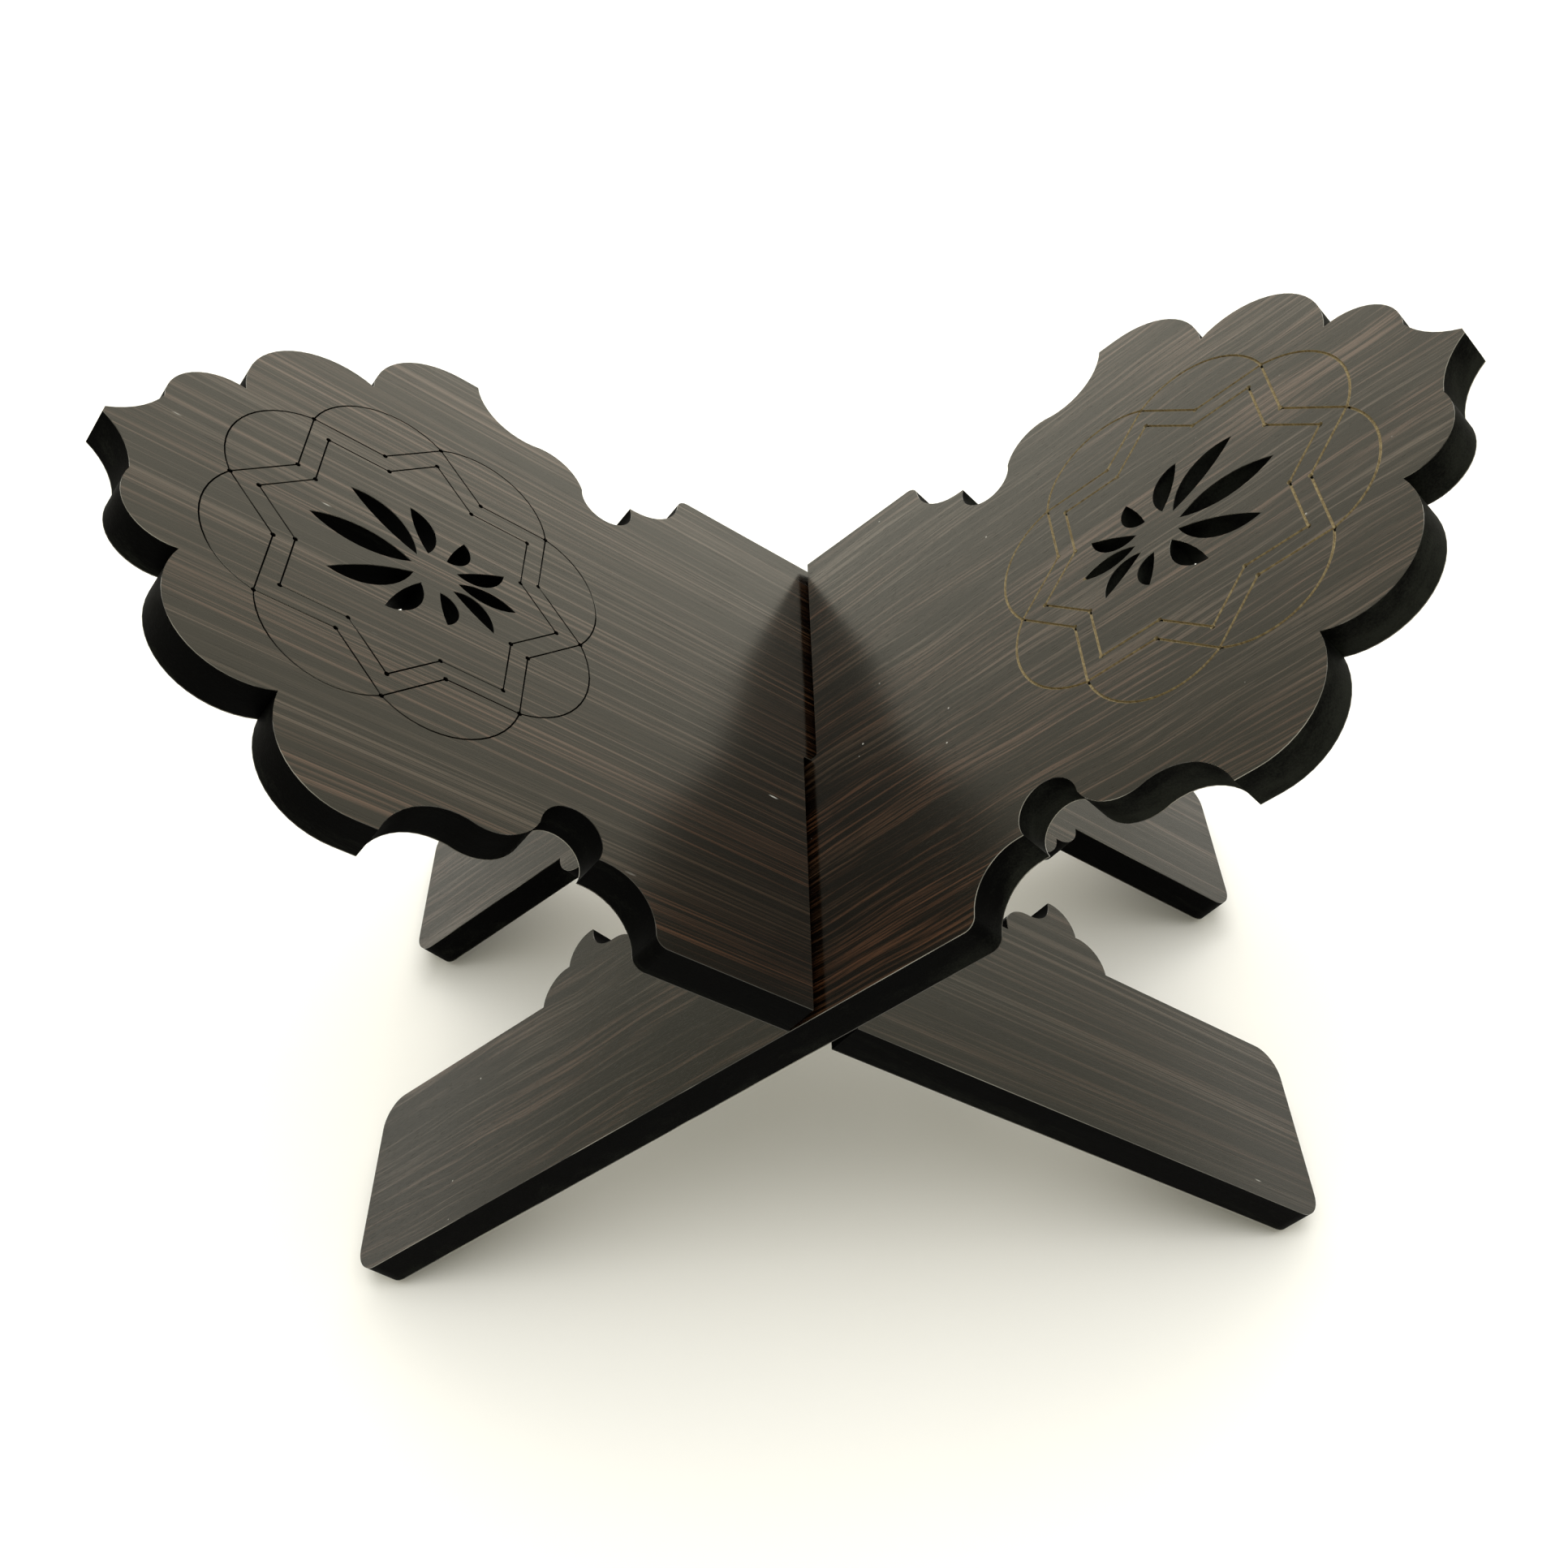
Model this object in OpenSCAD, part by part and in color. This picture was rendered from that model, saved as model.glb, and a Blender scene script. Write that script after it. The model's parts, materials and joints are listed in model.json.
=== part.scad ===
// Book stand of two crossed boards, joined by a halving joint.
//
// Both boards have the same outline. Each is an MDF core with a wood-grain
// film bonded to its inner face (towards the book) and its outer face
// (towards the floor). One board is slotted from its back edge and the other
// from its front edge; each slot stops at mid-depth and straddles the solid
// half of the other board.
//
// Frame: origin on the floor, centred under the crossing. +X to the right,
// +Y to the back, +Z up. The right panel belongs to the right board.
//
// Board coordinates: X along the board from the crossing (head positive,
// foot negative), Y across it, Z through its thickness (inner face positive).

/* [Board] */
// Width of each board, from its front edge to its back edge
board_w = 200; // [190:1:215]
// Length of the leg, from the crossing to the end of the feet
leg_len = 208; // [190:1:240]
// Length of the head, from the crossing to its tip
head_len = 242; // [242:1:246]
// Thickness of the MDF core
core_t = 12; // [9:0.5:15]
// Thickness of the wood-grain film on each face
film_t = 0.3; // [0.2:0.05:0.6]
// Slope of each board above the floor, in degrees
slope = 39.5; // [38.5:0.5:51]

/* [Halving joint] */
// Width of the slot that takes the other board
slot_w = 16; // [15.6:0.1:20]
// Gap between the closed ends of the two slots when the boards are home
slot_end_gap = 0.2; // [0.1:0.05:1]
// Radius of the slot's two inner corners
slot_corner_r = 1; // [0.5:0.25:2]

/* [Feet and arch] */
// Radius of the four corners of the feet
foot_r = 10; // [4:1:14]
// Distance between the two feet of a board
foot_gap = 68; // [60:1:74]
// Distance from the crossing to the arch's narrow neck
arch_neck = 98.7; // [92:0.1:105]
// Radius of the outer lobe on each side of the neck
arch_lobe_r = 11; // [10:0.5:11.5]
// Radius of the pointed lobe at the neck
neck_lobe_r = 10.3; // [9:0.1:10.5]
// Distance from the crossing to the crown of the arch
arch_crown = 34; // [30:1:40]
// How far the outer film stops short of the feet, so that it never touches the floor
foot_film_trim = 0.6; // [0.5:0.05:1.5]

/* [Engraved rosette] */
// Distance from the crossing to the centre of the rosette
rosette_at = 150; // [148:0.5:152]
// Radius of the outer eight-pointed star, to its points
star_r = 56.5; // [52:0.5:57]
// Radius of the inner eight-pointed star, to its points
inner_star_r = 48; // [44:0.5:50]
// Radius of the eight petal arcs around the star
petal_r = 26; // [23:0.5:30]
// Width of the engraved lines on the right board
right_line_w = 0.8; // [0.5:0.1:1.2]
// Width of the engraved lines on the left board, which is cut more finely
left_line_w = 0.5; // [0.4:0.1:1.2]
// Depth of the engraved lines below the film's face
line_depth = 0.8; // [0.6:0.1:1.5]
// Radius of the pit where the engraving tool turns at each star point
pit_r = 0.8; // [0.5:0.1:1]
// Depth of the pits below the film's face
pit_depth = 1.4; // [1:0.1:2]

/* [Hidden] */
$fn = 64;
edge_colour = [0.06, 0.06, 0.06];
film_colour = [0.27, 0.22, 0.19];

half_w = board_w / 2;
half_gap = foot_gap / 2;
// The core's lower corner is what stands on the floor.
crossing_z = leg_len * sin(slope) + core_t / 2 * cos(slope);
// How far a cutting shape runs past what it cuts
past = 1;

// Three scallops along each side of the head: [along, from the edge, radius]
wide_lobe = [149.2, 27, 27];
middle_lobe = [186.3, 53.6, 26];
tip_lobe = [214, 78.5, 16.5];
// The S-curve between the waist and the first scallop, from cutters that
// meet the hump tangentially: [along, from the edge, radius]
waist_cove = [78.5, 3, 17.5];
bite = [89.5, 24.4, 9.9];
hump = [114.3, 30.3, 16];
shoulder_cove = [123.2, -4.5, 20];
// Rounding of the board's edge where the waist cove starts
waist_corner_r = 4;
waist_corner_at = 61;
// The concave sides of the pointed tip
tip_cove_r = 27;
tip_cove_from = [230, 17];
tip_flat = 1;
// Where the tip is buried in the lobes behind it
tip_root = 200;
// Arch: from the neck to the centre of each lobe beside it, the flat on the
// neck's point, and the radius of the hollow behind that point
lobe_span = 12.1;
tooth_flat = 0.8;
neck_hollow_r = neck_lobe_r - 0.4;

// Pierced palmette: its heart from the rosette's centre, where its leaves
// start from the heart and how far they bow, its crown leaf and its stem, and
// the leaves beside them as [turn in degrees, reach from the heart, width]
heart_at = -7;
leaf_root = 7.5;
leaf_bow = 2.2;
crown_reach = 40;
crown_w = 8.6;
side_leaves = [[31, 36, 7.6], [62, 26, 6.8], [110, 20, 5.6], [148, 25, 5.4]];
stem_reach = 27;
stem_w = 5.6;

// A circle given as [along, from the edge, radius], on the +Y side
module edge_circle(c)
    translate([c[0], half_w - c[1]]) circle(r = c[2]);

module both_sides() {
    children();
    mirror([0, 1]) children();
}

// Square corner of the given radius, to be cut away, with its tip at the origin
module corner_waste(r) {
    difference() {
        translate([-r, -r]) square(r + past);
        translate([-r, -r]) circle(r = r);
    }
}

// The pointed tip, with a concave side on each side of it
module tip_2d() {
    // The cove's centre is found from its two ends and its radius.
    a = tip_cove_from;
    b = [head_len, tip_flat];
    mid = (a + b) / 2;
    run = b - a;
    half_chord = norm(run) / 2;
    rise = sqrt(tip_cove_r * tip_cove_r - half_chord * half_chord);
    centre = mid + rise * [-run[1], run[0]] / norm(run);
    difference() {
        polygon([[tip_root, -a[1]], a - [0, 2 * a[1]], b - [0, 2 * b[1]], b, a, [tip_root, a[1]]]);
        both_sides() translate(centre) circle(r = tip_cove_r, $fn = 96);
    }
}

// Everything cut from the board's edge between the waist and the shoulder
module waist_waste() {
    bite_x = bite[0];
    edge = half_w + past;
    cove_floor = half_w - waist_cove[1] - waist_cove[2];
    to_hump = [hump[0] - bite_x, bite[1] - hump[1]];
    touch_y = half_w - bite[1] + bite[2] * to_hump[1] / norm(to_hump);
    to_shoulder = [shoulder_cove[0] - hump[0], hump[1] - shoulder_cove[1]];
    touch_x = hump[0] + hump[2] * to_shoulder[0] / norm(to_shoulder);
    edge_circle(waist_cove);
    edge_circle(bite);
    edge_circle(shoulder_cove);
    translate([waist_cove[0], cove_floor]) square([bite_x - waist_cove[0], edge - cove_floor]);
    difference() {
        translate([bite_x, touch_y]) square([touch_x - bite_x, edge - touch_y]);
        edge_circle(hump);
    }
    translate([waist_corner_at, half_w]) corner_waste(waist_corner_r);
}

// Full outline of one board, before the slot and the arch are cut
module outline_2d(foot_trim = 0) {
    shoulder = wide_lobe[0];
    difference() {
        union() {
            translate([-leg_len + foot_trim, -half_w])
                square([leg_len - foot_trim + shoulder, board_w]);
            polygon([
                [shoulder - past, -half_w + wide_lobe[1]], [middle_lobe[0], -half_w + middle_lobe[1]],
                [tip_lobe[0], -half_w + tip_lobe[1]], [tip_lobe[0], half_w - tip_lobe[1]],
                [middle_lobe[0], half_w - middle_lobe[1]], [shoulder - past, half_w - wide_lobe[1]]
            ]);
            both_sides() {
                edge_circle(wide_lobe);
                edge_circle(middle_lobe);
                edge_circle(tip_lobe);
            }
            tip_2d();
        }
        both_sides() waist_waste();
        both_sides() translate([-leg_len, half_w]) mirror([1, 0]) corner_waste(foot_r);
    }
}

// Opening between the feet: a straight gap, a lobed neck and a pointed dome
module arch_2d() {
    spring_x = lobe_span - arch_neck + arch_lobe_r;
    difference() {
        translate([-leg_len - past, -half_gap])
            square([leg_len + past + spring_x, foot_gap]);
        both_sides() neck_2d();
    }
    both_sides() translate([-leg_len, half_gap])
        mirror([1, 0]) mirror([0, 1]) corner_waste(foot_r);
    // The dome's two arcs start square to the springing line and meet at the crown.
    rise = -arch_crown - spring_x;
    dome_r = (rise * rise + half_gap * half_gap) / foot_gap;
    intersection() {
        translate([spring_x - past, -half_gap]) square([rise + 2 * past, foot_gap]);
        translate([spring_x, half_gap - dome_r]) circle(r = dome_r, $fn = 96);
        translate([spring_x, dome_r - half_gap]) circle(r = dome_r, $fn = 96);
    }
}

// Wood left standing on the +Y side of the arch's neck
module neck_2d() {
    shelf_y = half_gap - arch_lobe_r;
    tooth_x = -arch_neck - tooth_flat;
    for (side = [-1, 1]) translate([side * lobe_span - arch_neck, half_gap]) circle(r = arch_lobe_r);
    translate([-arch_neck - lobe_span, shelf_y]) square([2 * lobe_span, arch_lobe_r + past]);
    // Pointed lobe, convex towards the feet and hollow towards the crown
    difference() {
        translate([tooth_x, shelf_y]) {
            circle(r = neck_lobe_r);
            translate([0, -neck_lobe_r]) square([neck_lobe_r, neck_lobe_r + past]);
        }
        translate([-arch_neck + neck_hollow_r, shelf_y - neck_hollow_r]) circle(r = neck_hollow_r);
    }
}

// Slot from the back edge (side = 1) or the front edge (side = -1) to mid-depth
module slot_2d(side) {
    closed_end = -slot_end_gap / 2;
    mirror([0, side < 0 ? 1 : 0]) {
        translate([-slot_w / 2, closed_end + slot_corner_r])
            square([slot_w, half_w + past]);
        translate([-slot_w / 2 + slot_corner_r, closed_end])
            square([slot_w - 2 * slot_corner_r, slot_corner_r + past]);
        for (x = [-1, 1]) translate([x * (slot_w / 2 - slot_corner_r), closed_end + slot_corner_r])
            circle(r = slot_corner_r);
    }
}

// Eight-pointed star: two squares a quarter of a half-turn apart
module star_2d(r) {
    for (a = [0, 45]) rotate(a) rotate(45) square(r * sqrt(2), center = true);
}

// A line of width w along a star's outline
module star_line(r, w) {
    // A star's sides lie at r * cos(45) from its centre.
    grow = w / 2 / cos(45);
    difference() {
        star_2d(r + grow);
        star_2d(r - grow);
    }
}

// Eight arcs of line width w, each from one point of the outer star to the next
module petal_lines(w) {
    chord = star_r * cos(22.5);
    half_chord = star_r * sin(22.5);
    centre = chord - sqrt(petal_r * petal_r - half_chord * half_chord);
    for (k = [0:7]) rotate(45 * k + 22.5) intersection() {
        translate([centre, 0]) difference() {
            circle(r = petal_r + w / 2, $fn = 96);
            circle(r = petal_r - w / 2, $fn = 96);
        }
        translate([chord, -star_r]) square([star_r, 2 * star_r]);
    }
}

module rosette_lines(side) {
    w = side > 0 ? right_line_w : left_line_w;
    translate([rosette_at, 0]) {
        star_line(star_r, w);
        star_line(inner_star_r, w);
        petal_lines(w);
    }
}

// Points and inner corners of both stars, where the tool dwells
module rosette_pits() {
    inner_corner = cos(45) / cos(22.5);
    translate([rosette_at, 0]) for (r = [star_r, inner_star_r], k = [0:7]) {
        rotate(45 * k) translate([r, 0]) circle(r = pit_r);
        rotate(45 * k + 22.5) translate([r * inner_corner, 0]) circle(r = pit_r);
    }
}

// Leaf from point a to point b, w across its middle, bowed to its left by bow
module leaf(a, b, w, bow = 0) {
    run = b - a;
    half = norm(run) / 2;
    left = w / 2 + bow;
    right = w / 2 - bow;
    left_r = (half * half + left * left) / (2 * left);
    right_r = (half * half + right * right) / (2 * right);
    translate((a + b) / 2) rotate(atan2(run[1], run[0])) intersection() {
        translate([0, left - left_r]) circle(r = left_r, $fn = 128);
        translate([0, right_r - right]) circle(r = right_r, $fn = 128);
    }
}

// Pierced palmette: leaves fanned out from its heart above a short stem
module palmette_2d() {
    translate([rosette_at + heart_at, 0]) {
        leaf([leaf_root, 0], [crown_reach, 0], crown_w);
        leaf([-leaf_root, 0], [-stem_reach, 0], stem_w);
        both_sides() for (l = side_leaves)
            rotate(l[0]) leaf([leaf_root, 0], [l[1], 0], l[2], leaf_bow);
    }
}

// One board's whole cut-out shape, through all its layers
module board_2d(side, foot_trim = 0) {
    difference() {
        outline_2d(foot_trim);
        arch_2d();
        slot_2d(side);
        palmette_2d();
    }
}

module core(side) {
    face = core_t / 2;
    difference() {
        translate([0, 0, -face]) linear_extrude(core_t) board_2d(side);
        translate([0, 0, face + film_t - line_depth]) linear_extrude(line_depth) rosette_lines(side);
        translate([0, 0, face + film_t - pit_depth]) linear_extrude(pit_depth) rosette_pits();
    }
}

module inner_film(side) {
    translate([0, 0, core_t / 2]) linear_extrude(film_t) difference() {
        board_2d(side);
        rosette_lines(side);
        rosette_pits();
    }
}

module outer_film(side) {
    translate([0, 0, -core_t / 2 - film_t]) linear_extrude(film_t)
        board_2d(side, foot_film_trim);
}

module place_right() translate([0, 0, crossing_z]) rotate([0, -slope, 0]) children();
module place_left() mirror([1, 0, 0]) place_right() children();

module right_board_core() color(edge_colour) place_right() core(1);
module right_board_inner_film() color(film_colour) place_right() inner_film(1);
module right_board_outer_film() color(film_colour) place_right() outer_film(1);
module left_board_core() color(edge_colour) place_left() core(-1);
module left_board_inner_film() color(film_colour) place_left() inner_film(-1);
module left_board_outer_film() color(film_colour) place_left() outer_film(-1);

right_board_core();
right_board_inner_film();
right_board_outer_film();
left_board_core();
left_board_inner_film();
left_board_outer_film();
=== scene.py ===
# A book stand: two scalloped boards crossed in a halving joint, cut from
# 12 mm MDF that has a printed wenge film on both faces.

import json
import math

import bpy
from mathutils import Matrix, Vector

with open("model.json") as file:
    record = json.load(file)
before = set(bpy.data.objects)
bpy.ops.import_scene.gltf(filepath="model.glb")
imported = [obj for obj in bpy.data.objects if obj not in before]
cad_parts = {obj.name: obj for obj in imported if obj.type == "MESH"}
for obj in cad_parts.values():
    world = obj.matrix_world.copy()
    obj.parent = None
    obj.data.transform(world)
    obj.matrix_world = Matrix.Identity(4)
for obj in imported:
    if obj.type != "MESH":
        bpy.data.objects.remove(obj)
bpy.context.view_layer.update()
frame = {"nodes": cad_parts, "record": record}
nodes = frame["nodes"]


# ---------------------------------------------------------------------------
# The two cores. Each is one piece of 12 mm MDF, cut out by a machine that
# scorches the edge nearly black, and sealed. The engraved lines go through
# the film and show bare tan fibre, scorched in places.

MM = 0.001
SIDES = {"right": 1, "left": -1}
book_rest = next(m for m in frame["record"]["mounts"] if m["name"] == "right_book_rest")


class Board:
    """Directions of one board, along it to its tip and out of its inner face,
    and the crossing of its middle plane with the other board's."""

    def __init__(self, name):
        x, _, z = book_rest["axis"]
        side = SIDES[name]
        self.normal = Vector((x * side, 0, z))
        self.along = Vector((z * side, 0, -x * side))
        heights = [v.co.dot(self.normal) for v in nodes[f"{name}_board_core"].data.vertices]
        middle = (max(heights) + min(heights)) / 2
        self.crossing = Vector((0, 0, middle / self.normal.z))


class Wire:
    """An output of a material's nodes. Arithmetic on it adds the Math nodes."""

    def __init__(self, tree, socket=None):
        self.tree = tree
        self.socket = socket

    def node(self, kind, settings, sockets, output=0):
        """Adds any node: its settings first, then a value or a wire for each socket."""
        made = self.tree.nodes.new("ShaderNode" + kind)
        for name, value in settings.items():
            setattr(made, name, value)
        for name, value in sockets.items():
            if isinstance(value, Wire):
                self.tree.links.new(value.socket, made.inputs[name])
            else:
                made.inputs[name].default_value = value
        return Wire(self.tree, made.outputs[output])

    def math(self, operation, a, b=0.0):
        return self.node("Math", {"operation": operation}, {0: a, 1: b})

    def __add__(self, other):
        return self.math("ADD", self, other)

    __radd__ = __add__

    def __sub__(self, other):
        return self.math("SUBTRACT", self, other)

    def __rsub__(self, other):
        return self.math("SUBTRACT", other, self)

    def __mul__(self, other):
        return self.math("MULTIPLY", self, other)

    __rmul__ = __mul__

    def __gt__(self, other):
        return self.math("GREATER_THAN", self, other)

    def __lt__(self, other):
        return self.math("LESS_THAN", self, other)

    def __abs__(self):
        return self.math("ABSOLUTE", self)

    def dot(self, direction):
        """Length of a vector along a direction."""
        return self.node("VectorMath", {"operation": "DOT_PRODUCT"}, {0: self, 1: direction}, 1)

    def step(self, low, high):
        """0 below low, 1 above high, smooth between them."""
        return self.node("MapRange", {"interpolation_type": "SMOOTHSTEP"},
                         {"Value": self, "From Min": low, "From Max": high})

    def blend(self, a, b):
        """Colour a where this mask is 0, and b where it is 1."""
        a, b = ((*c, 1) if isinstance(c, tuple) else c for c in (a, b))
        return self.node("Mix", {"data_type": "RGBA"}, {0: self, 6: a, 7: b}, 2)

    def point(self, x, y, z):
        return self.node("CombineXYZ", {}, {"X": x, "Y": y, "Z": z})

    def noise(self, point, detail=2.0, roughness=0.5):
        return self.node("TexNoise", {}, {"Vector": point, "Scale": 1.0, "Detail": detail,
                                          "Roughness": roughness})


class Finish:
    """A new material: its shader, and the place on the board in millimetres."""

    def __init__(self, name, board):
        self.material = bpy.data.materials.new(name)
        self.material.use_nodes = True
        tree = self.material.node_tree
        self.shader = tree.nodes["Principled BSDF"]
        self.wire = Wire(tree)
        here = self.wire.node("TexCoord", {}, {}, "Object")
        self.facing = self.wire.node("TexCoord", {}, {}, "Normal").dot(board.normal)
        self.along = (here.dot(board.along) - board.crossing.dot(board.along)) * (1 / MM)
        self.across = here.dot((0, 1, 0)) * (1 / MM)
        self.height = (here.dot(board.normal) - board.crossing.dot(board.normal)) * (1 / MM)

    def feed(self, name, value):
        """Sets a socket of the shader: a wire is linked, a number or colour is set."""
        socket = self.shader.inputs[name]
        if isinstance(value, Wire):
            self.wire.tree.links.new(value.socket, socket)
        else:
            socket.default_value = value

    def bump(self, strength, depth, height):
        """Feeds the shader's normal from a relief of this depth in millimetres."""
        relief = {"Strength": strength, "Distance": depth * MM, "Height": height}
        self.feed("Normal", self.wire.node("Bump", {}, relief))


CHARRED = (0.0005, 0.0005, 0.0005)
# Grey of soot on the cut edge, also used as a painted sheen where the head's edge is painted lighter
# than the legs'.
SOOT_AND_SHEEN_GREY = (0.011, 0.012, 0.0095)
BARE_FIBRE = (0.37, 0.305, 0.18)
SHADED_FIBRE = (0.19, 0.145, 0.08)
BURNT_LINE = (0.045, 0.030, 0.018)
SEALER_IOR = 1.08

# Features per millimetre of the noises on the core
SOOT_CLOUDS = 0.07
SOOT_CLOUDS_THROUGH = 0.14
FUZZ = 1.6
LINE_FUZZ = 1.3
LINE_PATCHES = 0.07

# The rosette: its centre along the board, and the nearest and farthest
# engraving from that, in millimetres.
ROSETTE_AT = 150
NEAREST_LINE = 33
FARTHEST_LINE = 67
# The engraved lines' floor is above this height, and the pits' floor is below.
GROOVE_FLOOR = 5.2
# Painted sheen: the cut edge of the head is painted lighter grey than the legs' edges, standing for
# the sheen it catches. It starts this far along the board and is full here, in millimetres.
SHEEN_FROM = 30.0
SHEEN_FULL = 110.0


def engraved(f):
    """Mask of the ring that the engraved lines lie in, clear of every cut edge."""
    from_centre = f.wire.point(f.along - ROSETTE_AT, f.across, 0)
    radius = f.wire.node("VectorMath", {"operation": "LENGTH"}, {0: from_centre}, 1)
    return (radius > NEAREST_LINE) * (radius < FARTHEST_LINE)


def line_colour(f, scorch):
    """Tan fibre, burnt dark in places: in more of them the larger scorch is."""
    w = f.wire
    fuzz = w.noise(w.point(f.along * LINE_FUZZ, f.across * LINE_FUZZ, 7.0), 2)
    fibre = fuzz.step(0.3, 0.7).blend(BARE_FIBRE, SHADED_FIBRE)
    patch = w.noise(w.point(f.along * LINE_PATCHES, f.across * LINE_PATCHES, 3.0), 1)
    return (patch + scorch).step(0.48, 0.6).blend(fibre, BURNT_LINE)


def core_finish(name, board, scorch):
    f = Finish(name, board)
    w = f.wire
    cloud_at = w.point(f.along * SOOT_CLOUDS, f.across * SOOT_CLOUDS, f.height * SOOT_CLOUDS_THROUGH)
    cloud = w.noise(cloud_at, 4, 0.6)
    fuzz = w.noise(w.point(f.along * FUZZ, f.across * FUZZ, f.height * FUZZ), 3, 0.7)
    # Painted sheen: the head's cut edge is painted lighter grey than the legs' straight edges, and
    # lighter towards the outer face. The cloudy, fuzzy mottling is soot.
    painted_sheen = f.along.step(SHEEN_FROM, SHEEN_FULL) * 0.22 - f.height * 0.012
    edge = (cloud * 0.7 + fuzz * 0.4 + painted_sheen).step(0.55, 0.95).blend(CHARRED, SOOT_AND_SHEEN_GREY)
    line = engraved(f) * (f.height > GROOVE_FLOOR)
    f.feed("Base Color", line.blend(edge, line_colour(f, scorch)))
    f.feed("Roughness", 0.55 + cloud * 0.2)
    f.feed("IOR", SEALER_IOR)
    f.bump(0.5, 0.15, fuzz)
    return f.material


# The left board's lines were cut more finely and came out darker.
SCORCH = {"right": -0.24, "left": -0.12}
boards = {name: Board(name) for name in SIDES}
for name, board in boards.items():
    core = nodes[f"{name}_board_core"]
    core.data.materials.clear()
    core.data.materials.append(core_finish(f"{name}_blackened_mdf", board, SCORCH[name]))


# ---------------------------------------------------------------------------
# The four films. Each is a printed and embossed wenge veneer film bonded to a core before cutting,
# with a semi-gloss lacquer. The cut leaves a thin rim where the film's own edge shows, pale in
# patches: partly worn edge and partly a painted highlight along the cut.

DARK_GRAIN = (0.0010, 0.0005, 0.0003)
BROWN_GRAIN = (0.043, 0.0170, 0.0070)
GREY_GRAIN = (0.028, 0.0155, 0.0080)
FILM_RIM = (0.012, 0.011, 0.010)
PALE_RIM_AND_HIGHLIGHT = (0.22, 0.21, 0.185)
DUST = (0.75, 0.74, 0.70)
FILM_SHEEN = (1.0, 0.90, 0.62, 1)
FILM_SHEEN_LEVEL = 0.17
LACQUER_ROUGHNESS = 0.19

# Features per millimetre of the grain, along the board and across it
SWAY = (0.011, 0.02)
BANDS = (0.005, 0.075)
STREAKS = (0.013, 0.62)
THREADS = (0.03, 1.9)
PORES = (0.25, 4.2)
TINTS = (0.008, 0.05)
# The same for what lies on the film and for the pale patches of its rim, worn edge and painted
# highlight
SPECKS = (0.11, 0.11)
DUSTY_AREAS = (0.03, 0.03)
RIM_WEAR_AND_HIGHLIGHT = (0.035, 0.035)

# How far the grain wanders across the board, in millimetres
WANDER = 9
# Chips start this far from the board's centreline, and are all along its edge.
CHIPS_FROM = 92.0
CHIPS_FULL = 97.0
# A surface is the film's face where it faces along the board's normal.
FACE = 0.7


def film_finish(name, board, seed, scorch):
    f = Finish(name, board)
    w = f.wire

    def at(across, per_mm, layer):
        return w.point(f.along * per_mm[0], across * per_mm[1], seed + layer)

    sway = w.noise(at(f.across, SWAY, 0), 2) - 0.5
    across = f.across + sway * WANDER
    band = w.noise(at(across, BANDS, 1), 3, 0.6)
    streak = w.noise(at(across, STREAKS, 2), 4, 0.6)
    thread = w.noise(at(across, THREADS, 3), 3, 0.6)
    pore = w.noise(at(across, PORES, 4), 1).step(0.58, 0.70)
    light = (band * 0.35 + streak * 0.8 + thread * 0.5).step(0.80, 1.01)
    tint = w.noise(at(across, TINTS, 5), 2).step(0.4, 0.62)
    wood = light.blend(DARK_GRAIN, tint.blend(BROWN_GRAIN, GREY_GRAIN))
    wood = (pore * 0.7).blend(wood, DARK_GRAIN)

    # Dust lies here and there, and the straight edges have small pale chips.
    cells = {"Vector": at(f.across, SPECKS, 0), "Scale": 1.0, "Randomness": 1.0}
    speck = w.node("TexVoronoi", {}, cells).step(0.05, 0.02)
    dusty = w.noise(at(f.across, DUSTY_AREAS, 6), 1).step(0.52, 0.62)
    chipped = abs(f.across).step(CHIPS_FROM, CHIPS_FULL)
    wood = (speck * (dusty * 0.45 + chipped * 0.55)).blend(wood, DUST)

    # The rim's pale patches are partly wear and partly a painted highlight along the film's cut edge.
    worn_and_highlit = w.noise(at(f.across, RIM_WEAR_AND_HIGHLIGHT, 8), 2).step(0.44, 0.62)
    rim = engraved(f).blend(worn_and_highlit.blend(FILM_RIM, PALE_RIM_AND_HIGHLIGHT), line_colour(f, scorch))
    f.feed("Base Color", (abs(f.facing) > FACE).blend(rim, wood))
    f.feed("Roughness", 0.22 + pore * 0.14)
    f.feed("Specular IOR Level", FILM_SHEEN_LEVEL)
    f.feed("Specular Tint", FILM_SHEEN)
    f.feed("Coat Weight", 0.25 + light * 0.34 - pore * 0.14)
    f.feed("Coat Roughness", LACQUER_ROUGHNESS)
    f.bump(0.35, 0.05, streak * 0.5 + thread * 0.5 - pore * 0.6)
    return f.material


# Each film has grain of its own.
GRAIN_SEEDS = {"right": {"inner": 11.0, "outer": 18.0}, "left": {"inner": 34.0, "outer": 41.0}}
for name, board in boards.items():
    for face, seed in GRAIN_SEEDS[name].items():
        film = nodes[f"{name}_board_{face}_film"]
        film.data.materials.clear()
        film.data.materials.append(film_finish(f"{name}_{face}_wenge_film", board, seed, SCORCH[name]))


# ---------------------------------------------------------------------------
# The studio: a pale floor in a room that is brightest behind the stand, with
# one large soft light above. None of it is part of the stand.

FLOOR_WIDTH = 8.0
FLOOR_PAINT = (0.91, 0.90, 0.89, 1)
FLOOR_ROUGHNESS = 0.9

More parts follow.
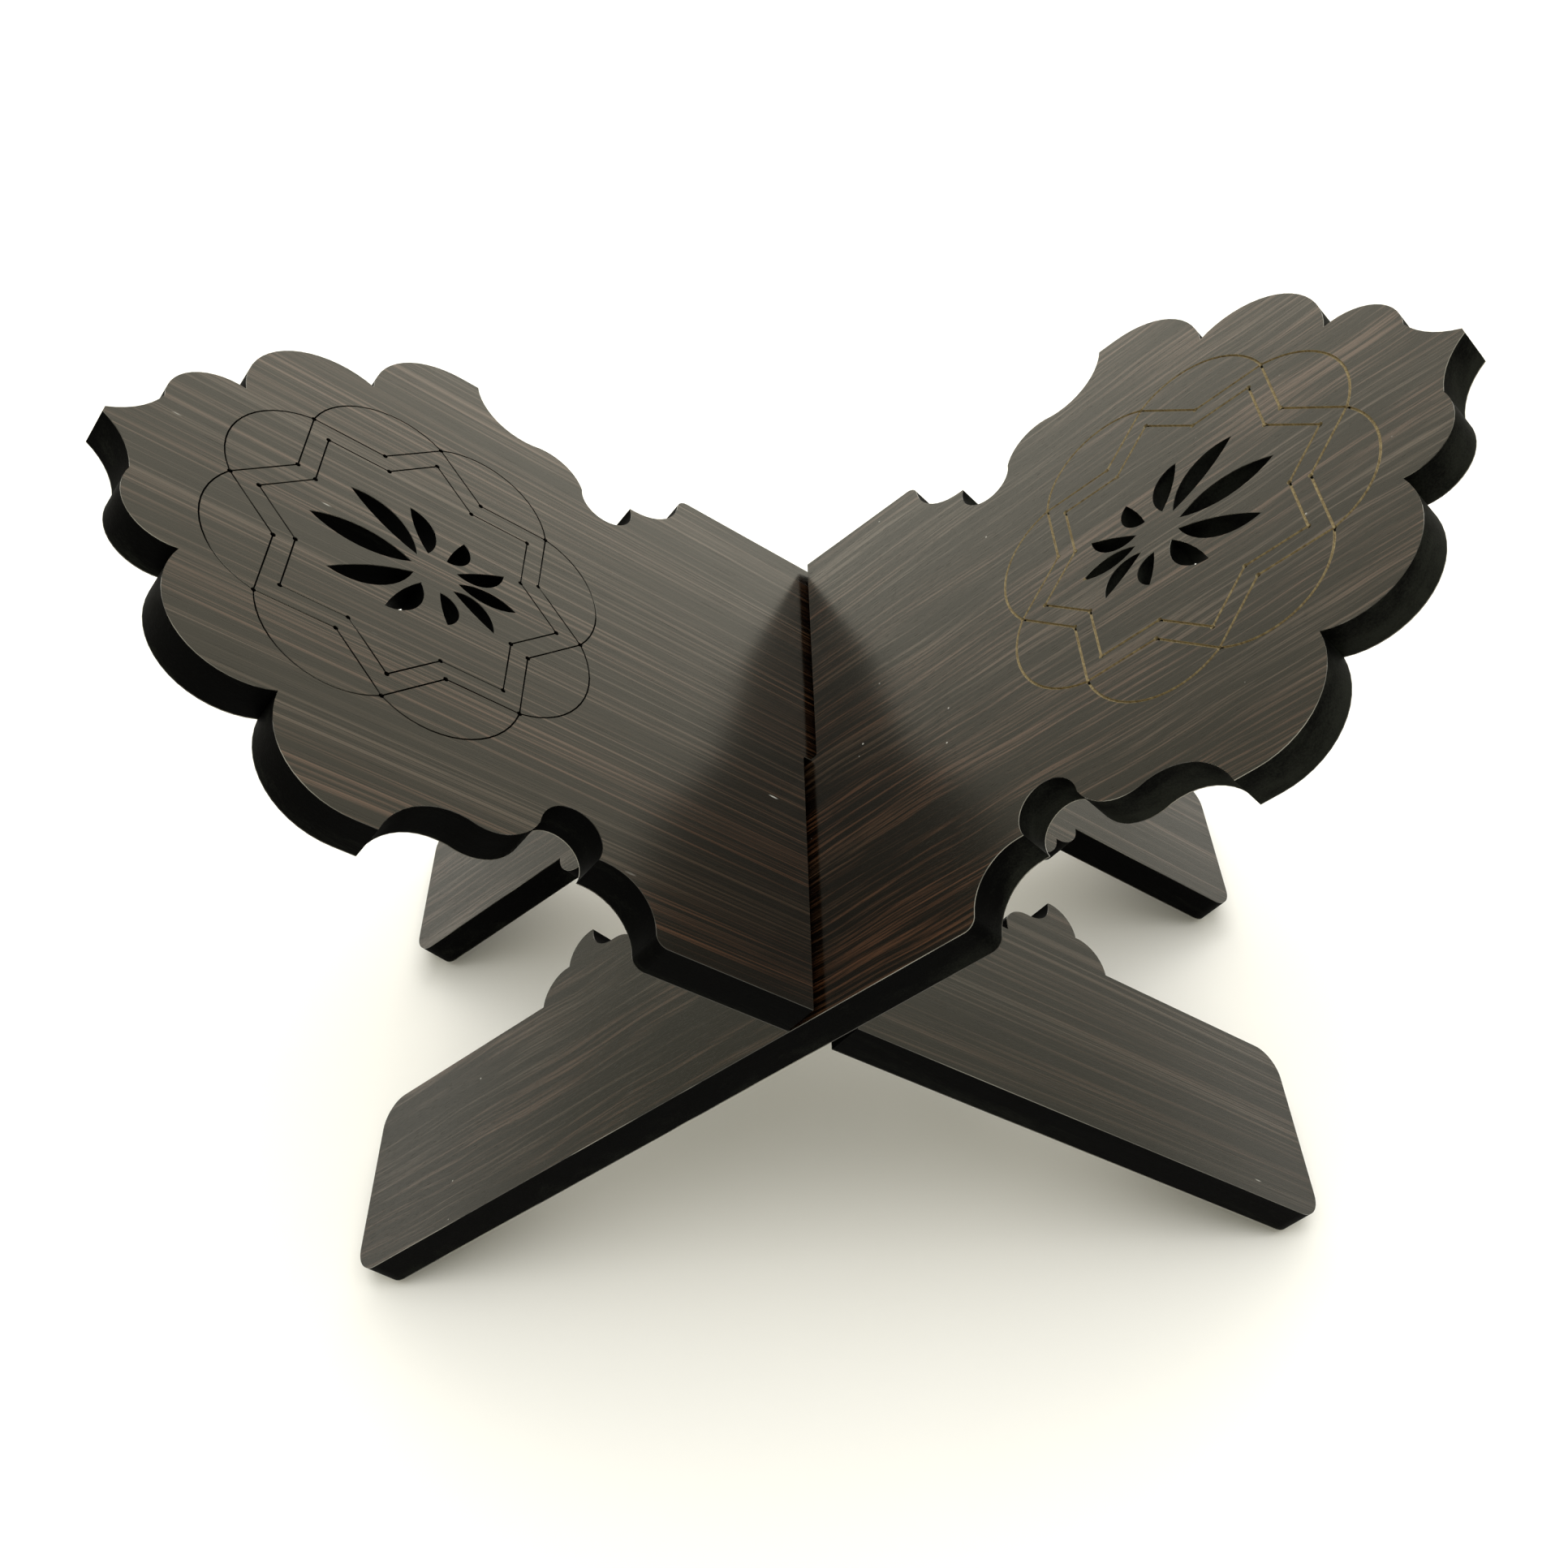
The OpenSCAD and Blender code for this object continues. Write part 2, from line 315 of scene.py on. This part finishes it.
half = FLOOR_WIDTH / 2
floor_mesh = bpy.data.meshes.new("floor")
corners = [(-half, -half, 0), (half, -half, 0), (half, half, 0), (-half, half, 0)]
floor_mesh.from_pydata(corners, [], [(0, 1, 2, 3)])
floor = bpy.data.objects.new("floor", floor_mesh)
bpy.context.scene.collection.objects.link(floor)
floor_paint = bpy.data.materials.new("pale_floor")
floor_paint.use_nodes = True
floor_shader = floor_paint.node_tree.nodes["Principled BSDF"]
floor_shader.inputs["Base Color"].default_value = FLOOR_PAINT
floor_shader.inputs["Roughness"].default_value = FLOOR_ROUGHNESS
floor_mesh.materials.append(floor_paint)

# The room: the direction it is brightest in, and its colour there and elsewhere
BRIGHTEST = (0.05, 0.993, 0.105)
BRIGHT_WALL = (2.75, 2.66, 2.34)
DIM_WALL = (0.61, 0.60, 0.48)

room = bpy.data.worlds.new("pale_studio")
room.use_nodes = True
wall = Wire(room.node_tree)
tone = wall.node("TexCoord", {}, {}).dot(BRIGHTEST).step(0.48, 0.92).blend(DIM_WALL, BRIGHT_WALL)
room.node_tree.links.new(tone.socket, room.node_tree.nodes["Background"].inputs["Color"])
bpy.context.scene.world = room

SOFT_LIGHT_AT = Vector((0.1, 0.1, 2.0))
SOFT_LIGHT_WIDTH = 2.6
SOFT_LIGHT_POWER = 42

light = bpy.data.lights.new("overhead_soft_light", "AREA")
light.shape = "DISK"
light.size = SOFT_LIGHT_WIDTH
light.energy = SOFT_LIGHT_POWER
lamp = bpy.data.objects.new("overhead_soft_light", light)
lamp.location = SOFT_LIGHT_AT
lamp.rotation_euler = (-SOFT_LIGHT_AT).to_track_quat("-Z", "Y").to_euler()
bpy.context.scene.collection.objects.link(lamp)

# The camera stands in front and above, tipped a little to one side.
CAMERA_AT = Vector((0.0065, -0.3698, 0.5273))
CAMERA_DOWN = 41.47
CAMERA_TURN = -0.04
CAMERA_ROLL = -3.30
CAMERA_SHIFT = (-0.0242, -0.0962)
LENS = 36.82

camera_data = bpy.data.cameras.new("camera")
camera_data.lens = LENS
camera_data.sensor_width = 36
camera_data.shift_x, camera_data.shift_y = CAMERA_SHIFT
camera = bpy.data.objects.new("camera", camera_data)
aim = Matrix.Rotation(math.radians(-CAMERA_TURN), 4, "Z")
tip = Matrix.Rotation(math.radians(90 - CAMERA_DOWN), 4, "X")
roll = Matrix.Rotation(math.radians(CAMERA_ROLL), 4, "Z")
camera.matrix_world = Matrix.Translation(CAMERA_AT) @ aim @ tip @ roll
bpy.context.scene.collection.objects.link(camera)
bpy.context.scene.camera = camera
bpy.context.scene.view_settings.view_transform = "Standard"
